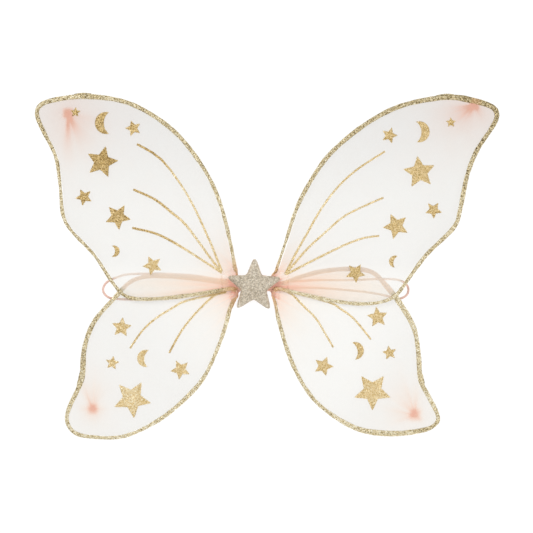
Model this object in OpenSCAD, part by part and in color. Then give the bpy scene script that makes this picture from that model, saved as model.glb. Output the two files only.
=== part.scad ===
// Fairy wings for a costume: four wire-framed wings of sheer nylon on a wrapped hub with a padded star.
// They lie flat with the star up. X runs along the span, Y up the wearer's back, and Z = 0 is the
// back face of the hub. The upper wings lie on the lower ones, and the elastic straps lie under both.
// The wings are bent by hand, so the left and right outlines differ. All sizes are in millimetres.

/* [Wire frames] */
// Diameter of the wing wire
wire_d = 1.8; // [1.4:0.1:1.8]
// Radial play of a wire root in its tunnel
root_play = 0.05; // [0.02:0.01:0.1]
// Length of the crimp that closes each wire loop
splice_l = 9; // [6:1:12]
// How far a splice stands out of the edging
splice_bulge = 0.8; // [0.4:0.1:1.2]

/* [Edging] */
// Width of the glitter edging on the upper wings
upper_edging_w = 4.8; // [4:0.1:5.4]
// Width of the glitter edging on the lower wings
lower_edging_w = 4.4; // [4:0.1:5.4]
// Thickness of the edging
edging_t = 2.8; // [2.4:0.1:2.8]

/* [Nylon and motifs] */
// Thickness of the stretched nylon
nylon_t = 0.5; // [0.3:0.1:0.8]
// Width of a glitter vein at its root
vein_w = 2.4; // [1.6:0.1:3]
// Share of that width left at the tip of a vein
vein_taper = 0.8; // [0.4:0.05:1]
// Height of the glitter motifs above the nylon
motif_t = 0.4; // [0.2:0.1:0.8]
// Inner radius of a small star over its outer radius
motif_star_ratio = 0.48; // [0.38:0.01:0.55]
// Radius of the knot that ties off the nylon near each wing tip
knot_r = 3; // [2:0.1:4]

/* [Hub] */
// Width of the wrapped bundle
hub_w = 30; // [30:1:33]
// Length of the wrapped bundle along the wearer's back
hub_l = 24; // [23:1:25]
// Height of the wrap over the back patch
hub_t = 10; // [10:0.5:11]
// Wall of the wrap
wrap_wall = 2; // [1:0.5:4]
// Thickness of the felt patch against the wearer's back
patch_t = 1; // [0.5:0.1:1.2]
// How far the patch stays inside the bundle on each side
patch_inset = 1; // [0:0.5:2]

/* [Centre star] */
// Radius of the star's points before they are rounded
star_r = 34; // [30:1:36]
// Radius of the star's notches
star_notch_r = 14.3; // [12:0.1:16]
// How far the points are rounded back, as a share of the star's side
star_rounding = 0.35; // [0.2:0.05:0.45]
// Turn of the star
star_turn = -1.5; // [-5:0.5:5]
// Height of the star with its padding
star_t = 5; // [4:0.5:7]
// Width of the sewn rim round the padding
star_rim = 2; // [1:0.5:3]

/* [Straps] */
// Diameter of the round elastic
strap_d = 2.6; // [2:0.1:2.6]

/* [Hidden] */

$fn = 48;
gap = 0.3;
left = -1;
right = 1;
gold = [0.80, 0.69, 0.44];
sheer = [0.96, 0.94, 0.90, 0.6];
peach = [0.95, 0.77, 0.68];
silver_gold = [0.75, 0.70, 0.62];

// The hub sits a little to the right of the star's centre, and the wire roots run along its two sides.
hub_x = 1;
root_x = 20;
root_z = 6.7;
root_r = wire_d / 2;
tunnel_r = root_r + root_play;
tunnel_wall = 1.45;
tunnel_sink = 0.5;
upper_root = [-1, hub_l / 2];
lower_root = [-hub_l / 2, -7];
core_w = hub_w - 2 * wrap_wall;
wrap_corner = 3;
core_corner = 2;
patch_corner = 6;
channel_play = 0.05;
star_z = patch_t + hub_t;
star_base_t = 0.8;

// The lower wings rest on the straps near the hub and on the table at their far edge.
// The upper wings rest on the lower ones and reach the table at their top edge.
lower_far_y = -174;
lower_z = edging_t / 2 + strap_d + gap + 0.3;
lower_tilt = atan((lower_z - edging_t / 2) / -lower_far_y);
overlap_y = 19;
upper_far_y = 218.5;
upper_mid_z = lower_z + overlap_y * tan(lower_tilt) + edging_t + gap;
upper_tilt = -atan((upper_mid_z - edging_t / 2) / (upper_far_y - overlap_y));
upper_z = upper_mid_z - overlap_y * tan(upper_tilt);

// Each outline follows the middle of the edging. Upper outlines run up the inner edge, round the tip
// and back along the lower edge. Lower outlines run out along the top edge and back up the inner edge.
upper_left_outline = [
    [-21.5, 21], [-26, 46], [-37, 90], [-54, 128], [-83, 167], [-115, 192.5], [-149, 208], [-192, 213],
    [-229, 208], [-242, 201], [-243.5, 190], [-235, 171], [-222, 144], [-217, 110], [-211, 71],
    [-179, 35], [-157.5, 3], [-141, -12.5], [-112, -14.5], [-72, -10.5], [-27, -3]
];
upper_right_outline = [
    [26, 21], [35, 48], [49, 90], [70, 128], [91, 154], [128, 183.5], [167, 203], [216, 212],
    [245, 208.5], [268, 201], [273, 190], [265, 174.5], [250, 152], [239, 124], [231, 86],
    [223.5, 65], [193, 35], [172, 7], [155.5, -13], [126, -20], [85, -16], [30, -3.5]
];
lower_left_outline = [
    [-28, 2.5], [-66, 8.5], [-110, 11.5], [-130, 8.5], [-142, 2], [-155.5, -12.5], [-179, -39.5],
    [-190.5, -70], [-193.5, -105], [-206.5, -134], [-210.5, -150], [-203, -164], [-184, -169.5],
    [-146, -169], [-105, -149.5], [-71.5, -121], [-53, -97], [-35.5, -56], [-27, -25.5]
];
lower_right_outline = [
    [30, 2], [50, 9.5], [74, 16], [100, 19], [124, 18], [137, 12.5], [150, -2], [162, -17],
    [179, -46], [184.5, -75], [187, -106], [196, -124], [207, -147], [202, -157], [188, -162.5],
    [155, -166], [116, -160.5], [79, -138.5], [57.5, -114.5], [40, -79.5], [28, -40], [25, -25]
];

// A wire loop leaves both ends of its root stretch and bends out to its wing.
// Each point is [distance out, distance past the root's end, height over the root].
upper_left_inner_lead = [[0, 0, 0], [0.1, 1.2, 0.1], [0.5, 3, 0.4], [1.3, 5.6, 0.95]];
upper_right_inner_lead = [[0, 0, 0], [0.6, 1, 0.1], [2.2, 2.6, 0.4], [3.9, 5.4, 0.95]];
upper_lower_lead = [[4, 1.9, 1.8], [1.7, 1.75, 0.4], [0.5, 1.3, 0.1], [0, 0.4, 0], [0, 0, 0]];
lower_top_lead = [[0, 0, 0], [0, 0.4, 0], [0.5, 1.3, -0.1], [1.7, 1.75, -0.4], [4.5, 3.4, -1.7]];
lower_left_inner_lead = [[6, 9.5, -1.9], [4.4, 5.6, -1.2], [2.4, 2.8, -0.6], [0.7, 1, -0.15], [0, 0, 0]];
lower_right_inner_lead = [[3.4, 10, -1.9], [2.6, 6.6, -1.2], [1.6, 3.4, -0.6], [0.5, 1.2, -0.15], [0, 0, 0]];

// Corners of the nylon at the root. The upper ones leave room for the star's arm when a wing folds up,
// and the lower ones stay clear of the bare wire.
upper_left_root_corners = [[-34, -1], [-34, 14.5], [-23, 15.5]];
upper_right_root_corners = [[36, -1], [36, 14.5], [25, 15.5]];
lower_left_root_corners = [[-26.5, -19.5], [-24, -14], [-22.3, -9]];
lower_right_root_corners = [[26.3, -20], [25.2, -15.5], [24.3, -9]];

// Veins, from root to tip.
upper_left_veins_at = [
    [[-36, 16], [-44, 37], [-53, 58], [-74, 101], [-103, 141], [-131, 159]],
    [[-37, 16], [-50, 33], [-76, 68], [-92, 82], [-111, 97], [-135, 108]],
    [[-36, 15], [-55, 27], [-72, 38], [-92, 50], [-111, 59], [-136, 65]]
];
upper_right_veins_at = [
    [[35, 13], [46, 35], [59, 58], [75, 86], [94, 111], [116, 131], [147, 151]],
    [[36, 14], [46, 26], [61, 43], [81, 61], [104, 80], [145, 99]],
    [[36, 13], [61, 26], [85, 38], [104, 47], [124, 54], [140, 56]]
];
lower_left_veins_at = [
    [[-31, -7], [-74, -16], [-92, -25], [-111, -37], [-126, -51], [-139, -70]],
    [[-31, -7], [-45, -11], [-63, -28], [-76, -43], [-86, -58], [-95, -75]]
];
lower_right_veins_at = [
    [[30, -4], [42, -9], [55, -22], [69, -36], [79, -52], [89, -69]],
    [[31, -4], [83, -18], [96, -25], [110, -35], [120, -46], [131, -60]]
];

// Small stars: [x, y, outer radius, direction of one point].
upper_left_stars_at = [
    [-200.5, 195, 5.8, 87], [-135.5, 177, 9.2, 107], [-170.5, 139, 18.5, 77],
    [-190.5, 99.5, 9.8, 115], [-152.5, 77.5, 15, 60], [-113.5, 23, 11.3, 114]
];
upper_right_stars_at = [
    [221, 183.5, 5.8, 91], [152, 169, 9.3, 72], [185.5, 127.5, 18.5, 97],
    [201, 85, 9.8, 56], [159, 67, 15, 114], [113.5, 14.5, 11.3, 58]
];
lower_left_stars_at = [
    [-148.5, -46.5, 11.5, 83], [-159, -86.5, 8, 81], [-82.5, -94, 11.5, 45], [-137, -127, 21.8, 60]
];
lower_right_stars_at = [
    [138.5, -35, 12, 97], [152, -75, 8.2, 100], [78, -90, 11.5, 69], [133, -118.5, 21.5, 54]
];

// Crescent moons: [x, y, half span, belly, hollow, direction of the belly].
upper_left_moons_at = [[-163, 183, 12, 15.5, 5.8, 180], [-159, 39, 6, 8.6, 3.6, 0]];
upper_right_moons_at = [[182.5, 173, 11.5, 14.5, 5.5, 2], [159, 27, 6.6, 8, 3, 165]];
lower_left_moons_at = [[-119, -81.5, 9.3, 12, 4.3, 175]];
lower_right_moons_at = [[112, -73, 9.7, 11.2, 4.2, 10]];

// Knots that tie off the nylon.
upper_left_knot_at = [-209, 194];
upper_right_knot_at = [246, 201];
lower_left_knot_at = [-181, -138];
lower_right_knot_at = [181, -145];

// Each splice sits at this numbered point of its outline.
upper_splice_at = 7;
lower_left_splice_at = 8;
lower_right_splice_at = 10;

// Routes of the two elastic loops, from the hub's side out and back to it.
lie_z = strap_d / 2;
tuck_z = patch_t + strap_d / 2;
left_strap_route = [
    [hub_x - hub_w / 2, 5.5, tuck_z], [-22, 6, tuck_z], [-31, 6.8, lie_z], [-44, 8, lie_z], [-66, 11.6, lie_z],
    [-90, 13.3, lie_z], [-116, 13.8, lie_z], [-142, 13, lie_z], [-157, 8.5, lie_z], [-166, 3.5, lie_z],
    [-169.7, -3.5, lie_z], [-168, -9, lie_z], [-163, -13, lie_z], [-154, -14.7, lie_z],
    [-136, -15.2, lie_z], [-110, -14.5, lie_z], [-70, -11, lie_z], [-31, -5, lie_z],
    [-22, -4.5, tuck_z], [hub_x - hub_w / 2, -4.5, tuck_z]
];
right_strap_route = [
    [hub_x + hub_w / 2, 3, tuck_z], [23, 3.2, tuck_z], [32, 4, lie_z], [50, 5.5, lie_z], [74, 6.5, lie_z],
    [107, 6.5, lie_z], [130, 7.3, lie_z], [148, 7.8, lie_z], [161, 7, lie_z], [168.5, 4, lie_z],
    [173, -1.5, lie_z], [173, -7.5, lie_z], [169.5, -12, lie_z], [162, -14.4, lie_z], [150, -11.5, lie_z],
    [136, -8.5, lie_z], [118, -6, lie_z], [74, -2.5, lie_z], [32, -2.5, lie_z], [23, -3, tuck_z],
    [hub_x + hub_w / 2, -3, tuck_z]
];

outline_steps = 4;
vein_steps = 3;
strap_steps = 2;
wire_sides = 8;
// The swept wire is a shade thinner than its round root, so the root's surface stays a true cylinder.
swept_r = 0.96 * root_r;
motif_rounding = 0.08;
knot_t = 1.1;
knot_taper = 0.6;
// A star's point is this much longer, for each millimetre that its sides are moved in.
point_inset = 2.2;

function unit(v) = v / norm(v);
function heading(line, i) = unit(line[min(i + 1, len(line) - 1)] - line[max(i - 1, 0)]);
function outward(line, i, side) = let (h = heading(line, i)) side * [-h.y, h.x];
function reversed(line) = [for (i = [len(line) - 1:-1:0]) line[i]];
function part_of(line, from, to) = [for (i = [from:to]) line[i]];
function blend4(a, b, c, d, t) =
    (2 * b + (c - a) * t + (2 * a - 5 * b + 4 * c - d) * t * t + (3 * b - a - 3 * c + d) * t * t * t) / 2;
// A smooth curve through every point of a line.
function curve(line, steps) = let (last = len(line) - 1) [
    for (i = [0:last - 1], k = [0:steps - 1])
        blend4(line[max(i - 1, 0)], line[i], line[i + 1], line[min(i + 2, last)], k / steps),
    line[last]
];
function shifted(line, d, side) = [for (i = [0:len(line) - 1]) line[i] + d * outward(line, i, side)];
function strip(line, near, far, side) = concat(shifted(line, near, side), reversed(shifted(line, far, side)));
function tapered(line, w, taper) = let (last = len(line) - 1) concat(
    [for (i = [0:last]) line[i] + (1 - (1 - taper) * i / last) * w / 2 * outward(line, i, 1)],
    [for (i = [last:-1:0]) line[i] - (1 - (1 - taper) * i / last) * w / 2 * outward(line, i, 1)]
);
function polar(r, a) = r * [cos(a), sin(a)];
// A star whose points are rounded back along their sides.
function star_points(r, notch, rounding, turn) = [
    for (k = [0:4])
        let (tip = polar(r, turn + 72 * k), before = polar(notch, turn + 72 * k - 36),
             after = polar(notch, turn + 72 * k + 36), a = tip + (before - tip) * rounding,
             b = tip + (after - tip) * rounding)
            each [before, for (t = [0:0.2:1]) (1 - t) * (1 - t) * a + 2 * t * (1 - t) * tip + t * t * b]
];
function rounded_box(w, h, r) = [
    for (c = [[1, 1, 0], [-1, 1, 90], [-1, -1, 180], [1, -1, 270]], a = [0:15:90])
        [c.x * (w / 2 - r), c.y * (h / 2 - r)] + polar(r, c.z + a)
];
function on_plane(p, z, tilt) = [p.x, p.y * cos(tilt), z + p.y * sin(tilt)];
function lead(points, side, end, way) =
    [for (p = points) [hub_x + side * (root_x + p.x), end + way * p.y, root_z + p.z]];
function ring(line, i, r) = let (h = heading(line, i), s = unit(cross(h, [0, 0, 1])), u = cross(s, h)) [
    for (k = [0:wire_sides - 1])
        line[i] + r * (cos((k + 0.5) * 360 / wire_sides) * s + sin((k + 0.5) * 360 / wire_sides) * u)
];

// A round bar swept along a line of points.
module swept(line, r) {
    last = len(line) - 1;
    rings = [for (i = [0:last]) each ring(line, i, r)];
    walls = [
        for (i = [0:last - 1], k = [0:wire_sides - 1])
            let (a = i * wire_sides + k, b = i * wire_sides + (k + 1) % wire_sides)
                each [[a, b, a + wire_sides], [b, b + wire_sides, a + wire_sides]]
    ];
    start_cap = [for (k = [wire_sides - 1:-1:0]) k];
    end_cap = [for (k = [0:wire_sides - 1]) last * wire_sides + k];
    polyhedron(points = rings, faces = concat(walls, [start_cap], [end_cap]));
}

module in_upper_plane() {
    translate([0, 0, upper_z]) rotate([upper_tilt, 0, 0]) children();
}

module in_lower_plane() {
    translate([0, 0, lower_z]) rotate([lower_tilt, 0, 0]) children();
}

module slab(from, to) {
    translate([0, 0, from]) linear_extrude(to - from) children();
}

// The stretch of wire that lies along the side of the hub and turns in its tunnel.
module wire_root(span, side) {
    translate([hub_x + side * root_x, span[1], root_z])
        rotate([90, 0, 0]) cylinder(r = root_r, h = span[1] - span[0]);
}

module upper_wire(outline, side, inner_lead) {
    line = [for (p = curve(outline, outline_steps)) on_plane(p, upper_z, upper_tilt)];
    first = lead(inner_lead, side, upper_root[1], 1);
    last = lead(upper_lower_lead, side, upper_root[0], -1);
    color("goldenrod") {
        wire_root(upper_root, side);
        swept(concat(first, line, last), swept_r);
    }
}

module lower_wire(outline, side, inner_lead) {
    line = [for (p = curve(outline, outline_steps)) on_plane(p, lower_z, lower_tilt)];
    first = lead(lower_top_lead, side, lower_root[1], 1);
    last = lead(inner_lead, side, lower_root[0], -1);
    color("goldenrod") {
        wire_root(lower_root, side);
        swept(concat(first, line, last), swept_r);
    }
}

// Glitter tape folded over the wire, with a channel for it.
module edging(outline, side, w) {
    line = curve(outline, outline_steps);
    channel = wire_d + 2 * channel_play;
    color(gold) difference() {
        slab(-edging_t / 2, edging_t / 2) polygon(strip(line, w / 2, -w / 2, side));
        slab(-channel / 2, channel / 2) polygon(strip(line, channel / 2, -channel / 2, side));
    }
}

// The crimp that joins the two wire ends makes a small bulge on the outside of the edging.
module splice(outline, side, w, at) {
    line = curve(outline, outline_steps);
    mid = at * outline_steps;
    step = norm(line[mid + 1] - line[mid]);
    reach = max(1, round(splice_l / 2 / step));
    color(gold) slab(-edging_t / 2 + gap, edging_t / 2 - gap)
        polygon(strip(part_of(line, mid - reach, mid + reach), w / 2, w / 2 + splice_bulge, side));
}

module nylon(outline, side, w, root_corners) {
    line = shifted(curve(outline, outline_steps), -w / 2, side);
    color(sheer) slab(-nylon_t / 2, nylon_t / 2) polygon(concat(line, root_corners));
}

module on_nylon() {
    slab(nylon_t / 2, nylon_t / 2 + motif_t) children();
}

module veins(lines) {
    color(gold) on_nylon() union() {
        for (line = lines) polygon(tapered(curve(line, vein_steps), vein_w, vein_taper));
    }
}

module stars(places) {
    color(gold) on_nylon() for (s = places)
        translate([s[0], s[1]])
            polygon(star_points(s[2], s[2] * motif_star_ratio, motif_rounding, s[3]));
}

// A crescent between two arcs that share their ends.
module moons(places) {
    color(gold) on_nylon() for (m = places)
        let (half = m[2], belly = m[3], hollow = m[4],
             outer_r = (half * half + belly * belly) / (2 * belly),
             inner_r = (half * half + hollow * hollow) / (2 * hollow))
            translate([m[0], m[1]]) rotate(m[5]) difference() {
                translate([belly - outer_r, 0]) circle(outer_r);
                translate([hollow - inner_r, 0]) circle(inner_r);
            }
}

// The nylon is drawn together and tied off on its underside.
module tip_knot(at) {
    color(peach) translate([at.x, at.y, -nylon_t / 2 - knot_t])
        cylinder(r1 = knot_r * knot_taper, r2 = knot_r, h = knot_t);
}

module back_patch() {
    color(peach) slab(0, patch_t) translate([hub_x, 0])
        polygon(rounded_box(hub_w - 2 * patch_inset, hub_l - 2 * patch_inset, patch_corner));
}

module along_hub(from, to) {
    translate([hub_x, to, 0]) rotate([90, 0, 0]) linear_extrude(to - from) children();
}

module hub_section(w, h, corner) {
    translate([0, patch_t + hub_t / 2]) polygon(rounded_box(w, h, corner));
}

module hub_core() {
    color("wheat") along_hub(-hub_l / 2, hub_l / 2)
        hub_section(core_w, hub_t - 2 * wrap_wall, core_corner);
}

// A tunnel sewn along the side of the wrap, where a wire root turns.
module tunnel(span, side) {
    web = root_x - core_w / 2 - tunnel_sink;
    along_hub(span[0], span[1]) translate([side * root_x, root_z]) difference() {
        union() {
            circle(tunnel_r + tunnel_wall);
            translate([side > 0 ? -web : 0, -tunnel_r - tunnel_wall])
                square([web, 2 * (tunnel_r + tunnel_wall)]);
        }
        circle(tunnel_r);
    }
}

module hub_wrap() {
    color(peach) union() {
        along_hub(-hub_l / 2, hub_l / 2) difference() {
            hub_section(hub_w, hub_t, wrap_corner);
            hub_section(core_w, hub_t - 2 * wrap_wall, core_corner);
        }
        for (side = [left, right]) {
            tunnel(upper_root, side);
            tunnel(lower_root, side);
        }
    }
}

module star_shape(inset) {
    polygon(star_points(star_r - point_inset * inset, star_notch_r - inset, star_rounding, 90 + star_turn));
}

module star_backing() {
    color(peach) slab(star_z, star_z + star_base_t) star_shape(0);
}

module star_padding() {
    color("white") slab(star_z + star_base_t, star_z + star_t - 1) star_shape(star_rim);
}

module star_face() {
    color(silver_gold) difference() {
        slab(star_z + star_base_t, star_z + star_t) star_shape(star_rim / 2);
        slab(star_z, star_z + star_t - 1) star_shape(star_rim);
    }
}

// Turned-over edge of the star, sewn down all round.
module star_rim_seam() {
    color(silver_gold) slab(star_z + star_base_t, star_z + star_t / 2) difference() {
        star_shape(0);
        star_shape(star_rim / 2);
    }
}

module left_strap() {
    color(peach) swept(curve(left_strap_route, strap_steps), strap_d / 2);
}

module right_strap() {
    color(peach) swept(curve(right_strap_route, strap_steps), strap_d / 2);
}

module upper_left_wire() {
    upper_wire(upper_left_outline, left, upper_left_inner_lead);
}

module upper_left_splice() {
    in_upper_plane() splice(upper_left_outline, left, upper_edging_w, upper_splice_at);
}

module upper_left_edging() {
    in_upper_plane() edging(upper_left_outline, left, upper_edging_w);
}

module upper_left_nylon() {
    in_upper_plane() nylon(upper_left_outline, left, upper_edging_w, upper_left_root_corners);
}

module upper_left_veins() {
    in_upper_plane() veins(upper_left_veins_at);
}

module upper_left_stars() {
    in_upper_plane() stars(upper_left_stars_at);
}

module upper_left_moons() {
    in_upper_plane() moons(upper_left_moons_at);
}

module upper_left_tip_knot() {
    in_upper_plane() tip_knot(upper_left_knot_at);
}

module upper_right_wire() {
    upper_wire(upper_right_outline, right, upper_right_inner_lead);
}

module upper_right_splice() {
    in_upper_plane() splice(upper_right_outline, right, upper_edging_w, upper_splice_at);
}

module upper_right_edging() {
    in_upper_plane() edging(upper_right_outline, right, upper_edging_w);
}

module upper_right_nylon() {
    in_upper_plane() nylon(upper_right_outline, right, upper_edging_w, upper_right_root_corners);
}

module upper_right_veins() {
    in_upper_plane() veins(upper_right_veins_at);
}

module upper_right_stars() {
    in_upper_plane() stars(upper_right_stars_at);
}

module upper_right_moons() {
    in_upper_plane() moons(upper_right_moons_at);
}

module upper_right_tip_knot() {
    in_upper_plane() tip_knot(upper_right_knot_at);
}

module lower_left_wire() {
    lower_wire(lower_left_outline, left, lower_left_inner_lead);
}

module lower_left_splice() {
    in_lower_plane() splice(lower_left_outline, left, lower_edging_w, lower_left_splice_at);
}

module lower_left_edging() {
    in_lower_plane() edging(lower_left_outline, left, lower_edging_w);
}

module lower_left_nylon() {
    in_lower_plane() nylon(lower_left_outline, left, lower_edging_w, lower_left_root_corners);
}

module lower_left_veins() {
    in_lower_plane() veins(lower_left_veins_at);
}

module lower_left_stars() {
    in_lower_plane() stars(lower_left_stars_at);
}

module lower_left_moon() {
    in_lower_plane() moons(lower_left_moons_at);
}

module lower_left_tip_knot() {
    in_lower_plane() tip_knot(lower_left_knot_at);
}

module lower_right_wire() {
    lower_wire(lower_right_outline, right, lower_right_inner_lead);
}

module lower_right_splice() {
    in_lower_plane() splice(lower_right_outline, right, lower_edging_w, lower_right_splice_at);
}

module lower_right_edging() {
    in_lower_plane() edging(lower_right_outline, right, lower_edging_w);
}

module lower_right_nylon() {
    in_lower_plane() nylon(lower_right_outline, right, lower_edging_w, lower_right_root_corners);
}

module lower_right_veins() {
    in_lower_plane() veins(lower_right_veins_at);
}

module lower_right_stars() {
    in_lower_plane() stars(lower_right_stars_at);
}

module lower_right_moon() {
    in_lower_plane() moons(lower_right_moons_at);
}

module lower_right_tip_knot() {
    in_lower_plane() tip_knot(lower_right_knot_at);
}

back_patch();
hub_core();
hub_wrap();
star_backing();
star_padding();
star_face();
star_rim_seam();
left_strap();
right_strap();
upper_left_wire();
upper_left_splice();
upper_left_edging();
upper_left_nylon();
upper_left_veins();
upper_left_stars();
upper_left_moons();
upper_left_tip_knot();
upper_right_wire();
upper_right_splice();
upper_right_edging();
upper_right_nylon();
upper_right_veins();
upper_right_stars();
upper_right_moons();
upper_right_tip_knot();
lower_left_wire();
lower_left_splice();
lower_left_edging();
lower_left_nylon();
lower_left_veins();
lower_left_stars();
lower_left_moon();
lower_left_tip_knot();
lower_right_wire();
lower_right_splice();
lower_right_edging();
lower_right_nylon();
lower_right_veins();
lower_right_stars();
lower_right_moon();
lower_right_tip_knot();
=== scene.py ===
import math

import bpy
import numpy as np
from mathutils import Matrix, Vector
from mathutils.geometry import delaunay_2d_cdt


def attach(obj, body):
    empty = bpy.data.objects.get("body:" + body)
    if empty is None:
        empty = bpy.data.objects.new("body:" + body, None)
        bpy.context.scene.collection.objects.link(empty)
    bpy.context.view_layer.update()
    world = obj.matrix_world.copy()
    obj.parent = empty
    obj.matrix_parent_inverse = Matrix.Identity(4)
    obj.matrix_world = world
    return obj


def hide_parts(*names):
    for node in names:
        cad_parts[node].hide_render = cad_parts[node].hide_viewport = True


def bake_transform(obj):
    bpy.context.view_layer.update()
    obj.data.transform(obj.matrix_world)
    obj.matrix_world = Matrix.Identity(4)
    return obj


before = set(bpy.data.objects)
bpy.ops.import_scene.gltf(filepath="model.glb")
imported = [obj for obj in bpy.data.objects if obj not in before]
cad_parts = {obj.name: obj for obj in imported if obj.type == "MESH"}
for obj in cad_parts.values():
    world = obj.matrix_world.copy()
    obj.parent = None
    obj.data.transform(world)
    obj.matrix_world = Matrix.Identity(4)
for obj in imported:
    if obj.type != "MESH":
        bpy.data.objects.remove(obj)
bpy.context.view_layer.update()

# Fairy wings lying flat with the star up. Every size below is in millimetres, and a mesh is
# turned into metres when it is made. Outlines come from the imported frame's own top faces.
MM = 0.001
UP = np.array([0.0, 0.0, 1.0])
LEFT, RIGHT = -1, 1
WINGS = ("upper_left", "upper_right", "lower_left", "lower_right")

# The hub: its middle, its faces' heights, and half its length, width and height.
HUB_X = 1
HUB_TOP = 11
HUB_BOTTOM = 1
HUB_HALF_L = 11.3
HUB_HALF_W = 14.9
HUB_HALF_H = 4.95

# The wire roots that turn along its two sides, how far out they are and how high.
ROOT_X = 20
ROOT_Z = 6.7
WIRE_R = 0.9
EDGING_TOP = 1.4
# Half width and height of the edging where it is squeezed into its sleeve, and its height's gain.
SQUEEZED_W, SQUEEZED_H, FREE_GAIN_H = 1.25, 1.1, 0.22
SPLICE_W, SPLICE_H = 1.3, 1.15
SLEEVES = {"upper": (-0.8, 11.9), "lower": (-11.9, -4.6)}
SLEEVE_R = 1.62

# The hub's thread: where its turns lie, and its radius. The ears: start, end and inner shift in y,
# how far out they start, and their thickness.
THREAD_TURNS = (-9.6, -8.9, -8.2, 8.2, 8.9, 9.6)
THREAD_R = 0.3
EARS = ((-0.6, 11.6, 5), (-6.1, -2.2, -4))
EAR_FROM = 12
EAR_T = 0.9

# Heights of the felt patch and of the star's layers, from the lowest up.
PATCH_HEIGHTS = (0.02, 0.25, 0.75, 0.98)
STAR_FELT_HEIGHTS = (11.0, 11.15, 11.65, 11.85)
STAR_STITCH_HEIGHTS = (11.2, 12.5)
STAR_UNDER, STAR_RIM_Z, STAR_TOP = 11.9, 12.3, 16.0

# A tied knot's radius and depth.
KNOT_R = 2.9
KNOT_DROP = 1.45

# Routes of the two elastic loops, from the hub's side out and back to it, lying on the table. The
# two points at each end are tucked under the hub.
STRAP_D = 2.6
LIE_Z = STRAP_D / 2
TUCK_Z = 1 + STRAP_D / 2
STRAP_ROUTES = {
    "left": [
        (-14, 5.5), (-22, 6), (-31, 6.8), (-44, 8), (-66, 11.6), (-90, 13.3), (-116, 13.8), (-142, 13),
        (-157, 8.5), (-166, 3.5), (-169.7, -3.5), (-168, -9), (-163, -13), (-154, -14.7), (-136, -15.2),
        (-110, -14.5), (-70, -11), (-31, -5), (-22, -4.5), (-14, -4.5),
    ],
    "right": [
        (16, 3), (23, 3.2), (32, 4), (50, 5.5), (74, 6.5), (107, 6.5), (130, 7.3), (148, 7.8), (161, 7),
        (168.5, 4), (173, -1.5), (173, -7.5), (169.5, -12), (162, -14.4), (150, -11.5), (136, -8.5),
        (118, -6), (74, -2.5), (32, -2.5), (23, -3), (16, -3),
    ],
}

# The wire from its root to the outline, at the start and at the end of each outline:
# distance out from the root, y and height over the root.
FIRST_LEADS = {
    "upper_left": [(0, 6, 0), (0, 12, 0), (0.1, 13.2, 0.1), (0.5, 15, 0.4), (1.3, 17.6, 0.95)],
    "upper_right": [(0, 6, 0), (0, 12, 0), (0.6, 13, 0.1), (2.2, 14.6, 0.4), (3.9, 17.4, 0.95)],
    "lower_left": [(0, -10, 0), (0, -7, 0), (0, -6.6, 0), (0.5, -5.7, -0.1), (1.7, -5.25, -0.4),
                   (4.5, -3.6, -1.7)],
}
FIRST_LEADS["lower_right"] = FIRST_LEADS["lower_left"]
LAST_LEADS = {
    "upper_left": [(4, -2.9, 1.8), (1.7, -2.75, 0.4), (0.5, -2.3, 0.1), (0, -1.4, 0), (0, -1, 0),
                   (0, 6, 0)],
    "lower_left": [(6, -21.5, -1.9), (4.4, -17.6, -1.2), (2.4, -14.8, -0.6), (0.7, -13, -0.15),
                   (0, -12, 0), (0, -10, 0)],
    "lower_right": [(3.4, -22, -1.9), (2.6, -18.6, -1.2), (1.6, -15.4, -0.6), (0.5, -13.2, -0.15),
                    (0, -12, 0), (0, -10, 0)],
}
LAST_LEADS["upper_right"] = LAST_LEADS["upper_left"]

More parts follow.
